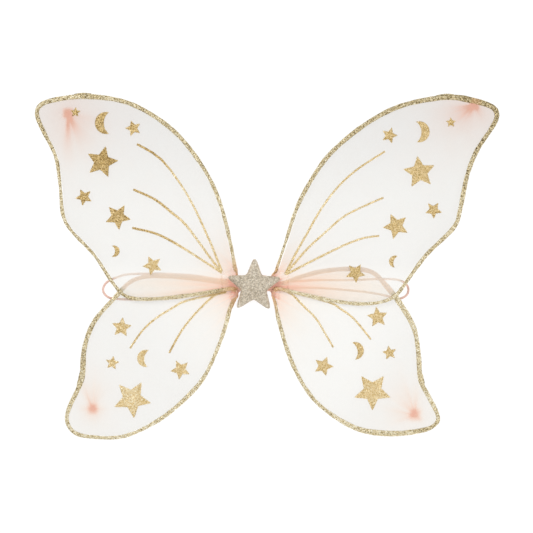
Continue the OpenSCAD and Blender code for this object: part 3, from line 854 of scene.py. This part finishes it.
def make_splice(wing, rng):
    """The crimp under the glitter: a short lump on the outside of the edging."""
    loop = top_loops(f"{wing}_splice")[0]
    order = np.argsort(loop @ unit(np.linalg.svd(loop - loop.mean(0))[2][0]))
    ends = loop[order]
    line = respaced(np.array([ends[:2].mean(0), ends[2:-2].mean(0) if len(ends) > 4 else ends.mean(0),
                              ends[-2:].mean(0)]), 0.6)
    line[:, 2] -= 1.1
    share = np.linspace(-1, 1, len(line))
    swell = np.sqrt(np.maximum(1 - share ** 2, 0.02))
    points, faces = tube(line, SPLICE_W * swell, SPLICE_H * swell, 14)
    points += rng.uniform(-0.13, 0.13, points.shape)
    lump = new_piece(f"{wing}_splice_lump", points, faces, EDGING_GOLD, smooth=False)
    paint(lump, "tone", np.full(len(points), 0.35))
    dress(lump, f"{wing}_wing", "gold_glitter", f"{wing}_splice")


def glitter_plate(loop, spacing, grown, rng):
    """A motif with a grainy top, a ragged edge and a flat underside."""
    level = plane_of(loop)
    rim = respaced(inset(loop, -grown), spacing, closed=True)
    rim[:, :2] += rng.uniform(-0.16, 0.16, (len(rim), 2)) * spacing / 0.5
    points, tris = filled(rim, scattered(rim, spacing, rng))
    rough = rng.uniform(-0.2, 0.16, len(points))
    rough[:len(rim)] = rng.uniform(-0.25, -0.05, len(rim))
    return plate(points, tris, level(points) + rough, len(rim), lambda flat: level(flat) - 0.38)


def motif_tones(wing, kind, parts):
    """The upper left wing's big star is the deepest gold, and its motifs pale towards the hub."""
    sizes = [np.ptp(part[0][:, 0]) for part in parts]
    tones = []
    for size, part in zip(sizes, parts):
        tone = MOTIF_TONES[wing]
        if size == max(sizes) and kind == "stars":
            tone = 0.2 if wing == "upper_left" else tone + 0.1
        elif wing == "upper_left":
            tone += 0.25 * smoothstep(80, 20, part[0][:, 1].mean()) - (0.1 if kind == "moons" else 0)
        tones.append(tone)
    return tones


def vein_marks(points, wing):
    """How far out along its vein each point is, and that vein's depth and spread."""
    start = points[from_hub(points).argmin(), :2]
    away = points[:, :2] - start
    turn = np.degrees(np.abs(np.arctan2(away[:, 0], away[:, 1])))
    turns, *rows = np.array(VEINS[wing]).T
    length, depth, spread = (np.interp(turn, turns, row) for row in rows)
    return np.clip(np.hypot(away[:, 0], away[:, 1]) / length, 0, 1), depth, spread


def vein_tones(points, wing):
    """Veins are laid on thinly, and palest along their middle stretch."""
    reach, depth, _ = vein_marks(points, wing)
    return 0.58 + 0.22 * np.sin(reach * math.pi) - depth * smoothstep(0.4, 0.8, reach)


def vein_spread(loop, wing):
    """The outer half of a vein is laid on wider."""
    reach, _, spread = vein_marks(loop, wing)
    return (0.06 + (spread - 0.06) * smoothstep(0.3, 0.7, reach))[:, None]


def make_motifs(wing, kind, rng):
    """A wing's veins, stars or moons, as one piece of printed glitter."""
    node = f"{wing}_{kind}"
    loops = top_loops(node)
    grown = [vein_spread(loop, wing) if kind == "veins" else 0.05 for loop in loops]
    parts = [glitter_plate(loop, 0.55, spread, rng) for loop, spread in zip(loops, grown)]
    motif = new_piece(f"{node}_glitter", *joined(parts), MOTIF_GOLD, smooth=False)
    if kind == "veins":
        tones = [vein_tones(points, wing) for points, _ in parts]
    else:
        flat_tones = motif_tones(wing, kind, parts)
        tones = [np.full(len(points), tone) for (points, _), tone in zip(parts, flat_tones)]
    paint(motif, "tone", np.concatenate(tones))
    dress(motif, f"{wing}_wing", "gold_glitter", node)


def streaks(turn, rng, lobes):
    """A fold pattern round a point: a few uneven waves of the angle, from -1 to 1."""
    total = np.zeros_like(turn)
    for k in lobes:
        total += np.sin(k * turn + rng.uniform(0, 6.28)) * rng.uniform(0.6, 1)
    return total / len(lobes)


def knot_folds(wing, points, rng):
    """How strongly each point is drawn into the folds of the wing's knot, and their height."""
    knot = KNOTS[wing]
    away = points[:, :2] - knot["at"]
    far = np.linalg.norm(away, axis=1)
    turn = np.arctan2(away[:, 1], away[:, 0])
    fine = streaks(turn, rng, (13, 19, 29))
    lobed = knot["radius"] * (1.1 - 0.13 * np.cos(4 * turn) + 0.1 * streaks(turn, rng, (3, 5, 7)))
    halo, halo_reach = knot["halo"]
    strength = knot["dense"] * np.exp(-(far / lobed) ** 3) + halo * np.exp(-far / halo_reach)
    beyond = np.maximum(far - 0.5 * knot["radius"], 0)
    for direction, spread, reach, depth in knot["folds"]:
        gap = np.degrees(np.angle(np.exp(1j * (turn - math.radians(direction)))))
        narrow = spread * (1 + 1.2 * np.exp(-far / 5))
        fade = np.exp(-(beyond / reach) ** 1.3)
        strength += knot["dense"] * depth * np.exp(-(gap / narrow) ** 2) * fade * (0.9 + 0.35 * fine)
    height = 0.45 * fine * np.exp(-far / 14) * (1 - np.exp(-far / 2.5))
    return strength, height


def root_folds(wing, points, rng):
    """How strongly the nylon is gathered towards the hub, and the height of the folds there."""
    side = wing_side(wing)
    away = points[:, :2] - (HUB_X, 0)
    far = np.linalg.norm(away, axis=1)
    turn = np.arctan2(away[:, 1], away[:, 0] * side)
    coarse = streaks(turn, rng, (9, 14, 23))
    fine = streaks(turn, rng, (37, 53, 71))
    spread = 0.42 * np.exp(-(far - 36) / 18)
    doubled = np.exp(-(far - 28) / 48)
    other = nylon_outline(other_level(wing))
    overlap = smoothstep(-3, 4, edge_distance(points, other) * np.where(inside(points, other), 1, -1))
    overlap = np.maximum(overlap, smoothstep(34, 24, far) * smoothstep(14, 9, points[:, 1]))
    share = overlap * (1 if wing.startswith("upper") else 0.35)
    strength = (spread + np.maximum(doubled - spread, 0) * share) * (1 + 0.3 * coarse + 0.3 * fine)
    height = (0.3 * coarse + 0.2 * fine) * np.exp(-np.maximum(far - 14, 0) / 45)
    return strength, height


# Where a wing's own sheet gives way to the tails that fan out of the hub: distance out, and y.
CUTS = {
    "upper": [(34.5, -4), (34.5, 14), (23, 15.5), (18, 16)],
    "lower": [(24.4, -14.5), (22.8, -9), (28.5, 0.5), (31, 5)],
}


def past_cut(wing, points):
    """Distance past the cut towards the wing's tip, negative on the hub's side of it."""
    level = wing.split("_")[0]
    line = np.array([(HUB_X + wing_side(wing) * x, y) for x, y in CUTS[level]])
    gap = line_distance(points, line[:-1], np.diff(line, axis=0))
    closed = np.vstack([line, [(HUB_X, line[-1, 1]), (HUB_X, line[0, 1])]])
    return np.where(inside(points, closed), -gap, gap)


def paint_nylon(piece, wing, points, present, seed):
    """Density, greyness and presence of the net at each point; returns the height of its folds."""
    rng = seeded(seed)
    root_pull, root_height = root_folds(wing, points, rng)
    knot_pull, knot_height = knot_folds(wing, points, rng)
    gather = np.clip(knot_pull + root_pull, 0, 1)
    paint(piece, "gather", gather)
    x, y = points[:, 0], points[:, 1]
    # Outwards the net turns greyer and a little denser, most towards the upper wings' tips.
    if wing.startswith("upper"):
        outer = smoothstep(150, 230, np.abs(x)) * smoothstep(150, 40, y)
        greying = (0.36 + 0.64 * smoothstep(60, 215, y) + 0.25 * outer) * smoothstep(6, 30, y)
    elif wing == "lower_left":
        greying = 0.12 + 0.3 * smoothstep(60, 150, np.hypot(x, y))
    else:
        greying = 0.1 + 0.3 * smoothstep(130, 200, np.hypot(x, y))
    paint(piece, "greying", greying * (1 - smoothstep(0.4, 1.6, gather)))
    if wing.startswith("lower"):
        present = present * (1 - 0.5 * covered(wing, points))
    paint(piece, "present", present)
    return root_height + knot_height


def far_from(place, points):
    return np.linalg.norm(points - place, axis=1)


def sheet_points(wing, rim, rng):
    """Points over a sheet, closer together round its knot and by the hub."""
    knot, root = np.array(KNOTS[wing]["at"]), np.array([HUB_X + wing_side(wing) * ROOT_X, 0])
    coarse = scattered(rim, 2.1, rng)
    fine = scattered(rim, 0.95, rng, margin=0.9)
    middle = scattered(rim, 1.4, rng, margin=0.9)
    coarse = coarse[(far_from(knot, coarse) >= 30) & (far_from(root, coarse) >= 60)]
    return np.vstack([coarse, fine[far_from(knot, fine) < 29], middle[far_from(root, middle) < 59]])


def make_nylon(wing, seed):
    """One sheet of net stretched over the loop, puckered at its root and at its knot."""
    loop = top_loops(f"{wing}_nylon")[0]
    level = plane_of(loop)
    rim = respaced(loop, 2.0, closed=True)
    points, tris = filled(rim, sheet_points(wing, rim, seeded(seed)))
    points = np.column_stack([points, level(points) - 0.25])
    nylon = new_piece(f"{wing}_nylon_sheet", points, tris, SHEER)
    fading = 5 if wing.startswith("upper") else 1.5 + 3.5 * smoothstep(-16, -9, points[:, 1])
    folds = paint_nylon(nylon, wing, points, smoothstep(0, fading, past_cut(wing, points)), seed)
    slow = 0.12 * np.sin(points[:, 0] / 17 + points[:, 1] / 23)
    points[:, 2] += (folds + slow) * smoothstep(0.5, 7, edge_distance(points, rim))
    nylon.data.vertices.foreach_set("co", (points * MM).ravel())
    nylon.data.update()
    dress(nylon, f"{wing}_wing", "sheer_nylon", f"{wing}_nylon")
    return level


def make_knot(wing, level):
    """Nylon drawn into a small pleated ball and tied off under the sheet."""
    x, y = KNOTS[wing]["at"]
    rings, sides = 14, 40
    points = []
    for i in range(rings + 1):
        lift = i / rings
        swell = math.sin(math.pi * min(lift * 1.08, 1)) ** 0.6 * KNOT_R + 0.25
        for k in range(sides):
            turn = 2 * math.pi * k / sides + 0.5 * lift
            pleat = 1 + 0.1 * math.sin(9 * turn) + 0.06 * math.sin(17 * turn + 1)
            points.append((x + swell * pleat * math.cos(turn), y + swell * pleat * math.sin(turn), lift))
    points = np.array(points)
    ground = level(points) - 0.45
    points[:, 2] = np.maximum(ground - (1 - points[:, 2]) * KNOT_DROP, 0.05)
    knot = new_piece(f"{wing}_tied_knot", points, drum(rings + 1, sides), WOUND_THIN)
    dress(knot, f"{wing}_wing", "hub_nylon", f"{wing}_tip_knot")


def make_wing(wing, number):
    first, line, last = edging_line(wing)
    make_wire(wing, first, line, last)
    make_edging(wing, edging_route(first, line, last), seeded(number))
    make_splice(wing, seeded(number + 1))
    level = make_nylon(wing, number + 2)
    moons = "moons" if wing.startswith("upper") else "moon"
    for step, kind in enumerate(("veins", "stars", moons)):
        make_motifs(wing, kind, seeded(number + 3 + step))
    make_knot(wing, level)


# ---- centre star ----

# Rounding its points draws them in, and this brings them back out.
STAR_REGROWN = 1.035


def swollen(points, tris, fixed, reach, rounds=400):
    """Height of a padded skin over soft filling: 0 at the fixed rim, towards 1 inside."""
    sides = np.vstack([tris[:, [0, 1]], tris[:, [1, 2]], tris[:, [2, 0]]])
    edges = np.unique(np.sort(sides, axis=1), axis=0)
    a, b = edges[:, 0], edges[:, 1]
    weight = 1 / np.maximum(((points[a] - points[b]) ** 2).sum(1), 1e-4)
    count = len(points)
    total = np.bincount(a, weight, count) + np.bincount(b, weight, count)
    spring = total.mean() * 0.55 ** 2 * 1.5 / reach ** 2
    height = np.zeros(count)
    for _ in range(rounds):
        near = np.bincount(a, weight * height[b], count) + np.bincount(b, weight * height[a], count)
        height = (near + spring) / (total + spring)
        height[:fixed] = 0
    return height


def make_star_face(outline, rng):
    """Glitter fabric over wadding, sewn down all round its edge."""
    rim = respaced(inset(outline, 0.55), 0.6, closed=True)
    points, tris = filled(rim, scattered(rim, 0.6, rng))
    puff = swollen(points, tris, len(rim), 2.6)
    height = STAR_RIM_Z + (STAR_TOP - STAR_RIM_Z) * puff ** 0.8
    height += 0.12 * np.sin(points[:, 0] / 3.1) * np.cos(points[:, 1] / 2.7) * puff
    height[len(rim):] += rng.uniform(-0.1, 0.1, len(points) - len(rim))
    solid = plate(points, tris, height, len(rim), lambda flat: np.full(len(flat), STAR_UNDER))
    face = new_piece("centre_star_face", *solid, STAR_GLITTER, smooth=False)
    dress(face, "root", "silver_gold_glitter", "star_face", "star_padding")


def make_star_rim(outline, rng):
    """The turned-over edge of the star: a low grainy roll."""
    line = respaced(inset(outline, 0.75), 0.5, closed=True)
    line = np.vstack([line, line[:1]])
    line[:, 2] = STAR_RIM_Z
    points, faces = tube(line, 0.75, 0.7, 14)
    points += rng.uniform(-0.07, 0.07, points.shape)
    rim = new_piece("centre_star_rim", points, faces, STAR_GLITTER, smooth=False)
    dress(rim, "root", "silver_gold_glitter", "star_rim_seam")


def felt_piece(name, inner, rim, heights):
    """A cut piece of felt: its rim stands a little out between its underside and its top."""
    count = len(rim)
    rings = [np.column_stack([loop[:, :2], np.full(count, z)])
             for loop, z in zip((inner, rim, rim, inner), heights)]
    edges = [(k, (k + 1) % count) for k in range(count)]
    cap = delaunay_2d_cdt([Vector(p[:2]) for p in inner], edges, [], 1, 1e-5)[2]
    faces = quads(4, count)
    faces += [(a, c, b) for a, b, c in cap]
    faces += [(a + 3 * count, b + 3 * count, c + 3 * count) for a, b, c in cap]
    return new_piece(name, np.vstack(rings), faces, PEACH_FELT)


def make_star_back(outline, rng):
    """Felt under the star, cut a little uneven."""
    even = respaced(outline, 0.8, closed=True)
    rim = even.copy()
    rim[:, :2] += rng.uniform(-0.06, 0.06, (len(rim), 2))
    back = felt_piece("centre_star_backing", inset(even, 0.35), rim, STAR_FELT_HEIGHTS)
    dress(back, "root", "star_felt", "star_backing")


def stitch(a, b, bulge, radius):
    """One short stitch that arches from a to b."""
    t = np.linspace(0, 1, 7)[:, None]
    line = a + (b - a) * t + bulge * np.sin(np.pi * t)
    return tube_round(line, radius, 8)


def make_star_stitches(outline):
    """Whip stitches round the star's edge, which hold the rim to the felt."""
    low = respaced(inset(outline, 0.35), 1.7, closed=True)
    high = np.roll(low, -1, axis=0)
    low[:, 2], high[:, 2] = STAR_STITCH_HEIGHTS
    outward = unit(np.column_stack([(low - low.mean(0))[:, :2], np.zeros(len(low))]))
    parts = [stitch(a, a + (b - a) * 0.45 + UP * 0.7, way * 0.25, 0.16)
             for a, b, way in zip(low, high, outward)]
    stitches = new_piece("centre_star_stitches", *joined(parts), SILVER_THREAD)
    dress(stitches, "root", "silver_gold_glitter")


def rounded(loop, radius):
    """A closed loop with its corners worn to about the given radius."""
    line = respaced(loop, 0.4, closed=True)
    for _ in range(round(14 * radius ** 2)):
        line = (np.roll(line, 1, axis=0) + 2 * line + np.roll(line, -1, axis=0)) / 4
    middle = line.mean(0)
    return middle + (line - middle) * STAR_REGROWN


def make_centre_star():
    outline = rounded(top_loops("star_backing")[0], 1.75)
    make_star_back(outline, seeded(11))
    make_star_face(outline, seeded(12))
    make_star_rim(outline, seeded(13))
    make_star_stitches(outline)


# ---- hub ----

def hub_ring(y, half_w, half_h, sides, shrink=1.0):
    """One turn of the wrap, with small windings that never stand out of the bundle."""
    turn = np.arange(sides) * 2 * math.pi / sides
    c, s = np.cos(turn), np.sin(turn)
    wind = 0.22 * (1 + np.sin(y * 4.2 + 0.8 * np.sin(turn) + 0.4 * np.sin(3 * turn)))
    x = np.sign(c) * np.abs(c) ** 0.55 * (half_w - wind) * shrink
    z = np.sign(s) * np.abs(s) ** 0.6 * (half_h - wind * 0.8) * shrink
    middle = (HUB_TOP + HUB_BOTTOM) / 2
    return np.column_stack([HUB_X + x, np.full(sides, y), middle + z])


def bundle_half_width(y):
    """The bundle is narrower below the star's middle, where its legs hide it."""
    return HUB_HALF_W - 1.9 * smoothstep(-3, -8, y)


def make_hub():
    """The bundle of nylon tails, wound round and drawn together at both ends."""
    sides = 120
    turn = np.arange(sides) * 2 * math.pi / sides
    rings = []
    for y in np.linspace(-HUB_HALF_L, HUB_HALF_L, 120):
        pinch = abs(y / HUB_HALF_L) ** 6
        rings.append(hub_ring(y, bundle_half_width(y) - 1.2 * pinch, HUB_HALF_H - 0.7 * pinch, sides))
    for end in (-1, 1):
        caps = []
        for step in range(1, 15):
            shrink = 1 - step / 15
            y = end * HUB_HALF_L
            ring = hub_ring(y, bundle_half_width(y) - 1.2, 4.2, sides, shrink)
            swirl = 0.3 * np.sin(14 * turn + 5 * shrink) * shrink
            ring[:, 1] += end * (0.1 + 0.4 * math.sin(math.pi * shrink) + swirl)
            caps.append(ring)
        rings = caps[::-1] + rings if end < 0 else rings + caps
    hub = new_piece("hub_bundle", np.vstack(rings), drum(len(rings), sides), GATHERED)
    dress(hub, "root", "hub_nylon", "hub_core", "hub_wrap")


def make_hub_thread():
    """Turns of thread that bind the bundle near its ends."""
    parts = []
    for y in THREAD_TURNS:
        ring = hub_ring(y, bundle_half_width(y) - 0.1, 4.8, 160)
        ring = np.vstack([ring, ring[:1]])
        ring[:, 1] += np.linspace(-0.3, 0.3, len(ring))
        parts.append(tube_round(ring, THREAD_R, 8))
    thread = new_piece("hub_binding_thread", *joined(parts), PEACH_THREAD)
    dress(thread, "root", "hub_nylon")


def tube_round(line, radius, sides):
    """A thin round bar that may run in any direction."""
    ahead = unit(np.gradient(line, axis=0))
    side = unit(np.cross(ahead, np.array([0.13, 0.97, 0.2])))
    top = np.cross(side, ahead)
    turn = np.arange(sides) * 2 * math.pi / sides
    c, s = np.cos(turn)[:, None], np.sin(turn)[:, None]
    rings = line[:, None] + radius * (side[:, None] * c + top[:, None] * s)
    last = (len(line) - 1) * sides
    faces = quads(len(line), sides, flipped=True)
    faces += [list(range(sides)), list(range(last, last + sides))[::-1]]
    return rings.reshape(-1, 3), faces


def make_sleeves():
    """Gathered nylon rolled and sewn round each wire root."""
    parts = []
    for side in (LEFT, RIGHT):
        for level, (start, end) in SLEEVES.items():
            y = np.linspace(start, end, 60)
            line = np.column_stack([np.full(60, HUB_X + side * ROOT_X), y, np.full(60, ROOT_Z)])
            radius = SLEEVE_R + 0.06 * np.sin(y * 5.2) + 0.06 * np.sin(y * 2.3 + side)
            points, faces = tube(line, radius, radius, 24)
            turn = np.tile(np.arange(24) * 2 * math.pi / 24, 60)
            ridge = 0.1 * np.sin(5 * turn + np.repeat(y, 24) * 0.9)
            points[:-2] += unit(points[:-2] - np.repeat(line, 24, axis=0)) * ridge[:, None]
            parts.append((points, faces))
    sleeves = new_piece("wire_root_sleeves", *joined(parts), WOUND_THIN)
    dress(sleeves, "root", "hub_nylon")


def make_ears():
    """Folds of nylon from the bundle's sides to the sleeves."""
    parts = []
    for side in (LEFT, RIGHT):
        for start, end, y_in in EARS:
            across, along = 14, 30
            grid = []
            for i in range(across + 1):
                t = i / across
                x = HUB_X + side * (EAR_FROM + t * (ROOT_X - EAR_FROM - 0.6))
                ys = np.linspace(start, end, along + 1) * (0.75 + 0.25 * t) + y_in * 0.25 * (1 - t)
                z = ROOT_Z + 0.5 * np.sin(ys * 2.4 + side) * (1 - 0.6 * t)
                grid.append(np.column_stack([np.full(along + 1, x), ys, z]))
            parts.append(thick_sheet(np.array(grid), EAR_T))
    ears = new_piece("hub_ears", *joined(parts), GATHERED)
    dress(ears, "root", "hub_nylon")


def thick_sheet(grid, thickness):
    """A closed slab that follows a grid of points."""
    rows, columns = grid.shape[:2]
    top, under = grid.reshape(-1, 3) + UP * thickness / 2, grid.reshape(-1, 3) - UP * thickness / 2
    count = rows * columns
    number = np.arange(count).reshape(rows, columns)
    faces = quads(rows, columns, closed=False, flipped=True)
    faces += [tuple(count + k for k in face) for face in quads(rows, columns, closed=False)]
    rim = np.concatenate([number[0], number[1:, -1], number[-1, -2::-1], number[-2:0:-1, 0]])
    faces += [(a, b, b + count, a + count) for a, b in zip(rim, np.roll(rim, -1))]
    return np.vstack([top, under]), faces


def make_patch():
    """The felt patch against the wearer's back."""
    rim = respaced(top_loops("back_patch")[0], 0.8, closed=True)
    patch = felt_piece("back_felt_patch", inset(rim, 0.4), rim, PATCH_HEIGHTS)
    dress(patch, "root", "hub_nylon", "back_patch")


# ---- gathers between the hub and the wings ----

def fan(inner, outer, rows, columns, pleats, depth, sag):
    """A pleated surface between two lines of points; the pleats flatten as they spread."""
    a, b = (evenly(curved(line, 8), columns) for line in (inner, outer))
    share = np.linspace(0, 1, columns)
    wave = np.sin(share * pleats * 2 * math.pi) + 0.5 * np.sin(share * pleats * 4.7 * math.pi + 1)
    grid = []
    for t in np.linspace(0, 1, rows):
        line = a + (b - a) * t
        line[:, 1] = a[:, 1] + (b[:, 1] - a[:, 1]) * t ** sag
        line[:, 2] += wave * depth * (1 - 0.75 * t)
        grid.append(line)
    return np.array(grid)


def sheet_piece(name, grid, material):
    faces = quads(*grid.shape[:2], closed=False, flipped=True)
    return new_piece(name, grid.reshape(-1, 3), faces, material)


# Edges of the nylon tails that fan out of the hub: distance out from its middle, y and z.
TAILS = {
    "upper": {"inner": [(12, -2, 7.6), (12.5, 2, 8.2), (12.5, 6, 8.4), (12, 10.5, 8)],
              "outer": [(42, -4.2, 8), (42.5, 3, 8), (42, 11, 7.9), (39, 18, 7.7), (32, 22, 7.5),
                        (25, 20.5, 7.5)],
              "pleats": 9, "sag": 3.4, "flat": (0.028, 0.026), "ends": (19, 29)},
    "lower": {"inner": [(12, -4.6, 5.1), (13, -3.6, 5.4), (13, -2.4, 5.5), (12, -1.2, 5.3)],
              "outer": [(23.3, -17, 4.5), (28.5, -16, 4.3), (31, -9, 4.2), (33, -3, 4.2), (34, 0.8, 4.2)],
              "pleats": 6, "sag": 2.4, "flat": (0.019, 0.014), "ends": (17, 24)},
}


def make_tails(level, side, seed):
    """Nylon tails between the hub and a wing's sheet, which they meet with no hard edge."""
    name = "left" if side < 0 else "right"
    wing, facts = f"{level}_{name}", TAILS[level]
    lines = [[(HUB_X + side * x, y, z) for x, y, z in facts[k]] for k in ("inner", "outer")]
    grid = fan(*lines, 40, 110, facts["pleats"], 0.3, facts["sag"])
    tails = sheet_piece(f"{name}_{level}_tails", grid, SHEER)
    points = grid.reshape(-1, 3)
    present = smoothstep(6, 1, past_cut(wing, points))
    if level == "lower":
        present = present * smoothstep(-17, -13, points[:, 1])
    paint_nylon(tails, wing, points, present, seed)
    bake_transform(tails)


def make_hub_group():
    make_hub()
    make_hub_thread()
    make_sleeves()
    make_ears()
    make_patch()
    for index, wing in enumerate(WINGS):
        make_tails(wing.split("_")[0], wing_side(wing), wing_seed(index) + 2)


make_studio()
make_strap("left")
make_strap("right")
for index, wing_name in enumerate(WINGS):
    make_wing(wing_name, wing_seed(index))
make_centre_star()
make_hub_group()
